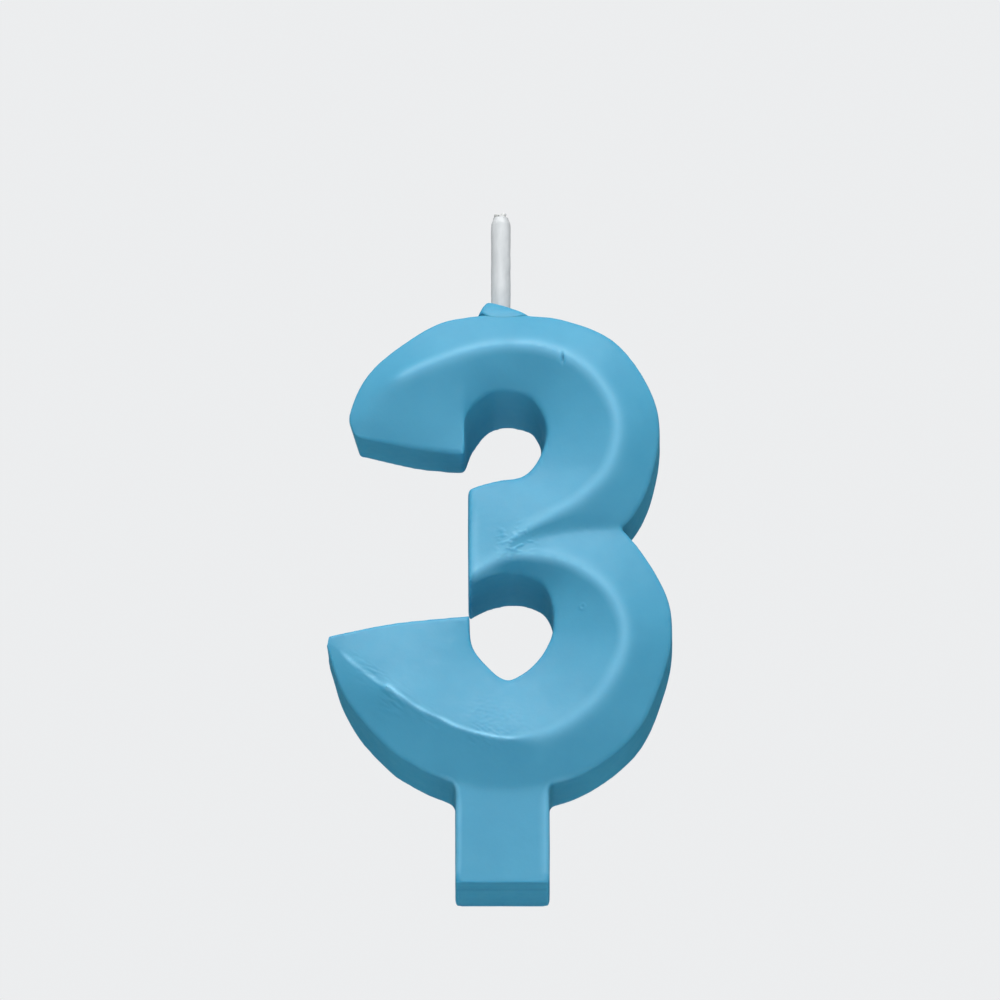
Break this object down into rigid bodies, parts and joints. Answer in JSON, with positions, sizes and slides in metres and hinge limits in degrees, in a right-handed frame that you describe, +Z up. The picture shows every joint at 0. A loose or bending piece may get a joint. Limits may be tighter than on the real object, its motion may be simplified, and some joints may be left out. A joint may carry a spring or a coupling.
{
  "type": "number birthday candle",
  "caption": "Moulded wax numeral three with a ridged face, a flat stake below for a cake and a waxed plaited wick on top.",
  "frame": {"origin": "middle of the flat foot of the stake", "axes": "+Z up along the stake to the wick, the numeral's ridged face looks along -Y, its flat back along +Y, +X to the viewer's right"},
  "size_m": [0.0418, 0.0114, 0.0878],
  "materials": {
    "blue_wax": "satin moulded paraffin wax, slightly translucent",
    "seal_wax": "satin wax set from a drop",
    "clear_wax": "thin translucent wax coat",
    "wick_cotton": "plaited cotton soaked with wax"
  },
  "bodies": {
    "root": {"wax_numeral": "blue_wax", "wick_seal": "seal_wax", "wick_coat": "clear_wax", "wick_strand_1": "wick_cotton", "wick_strand_2": "wick_cotton", "wick_strand_3": "wick_cotton"}
  },
  "joints": []
}
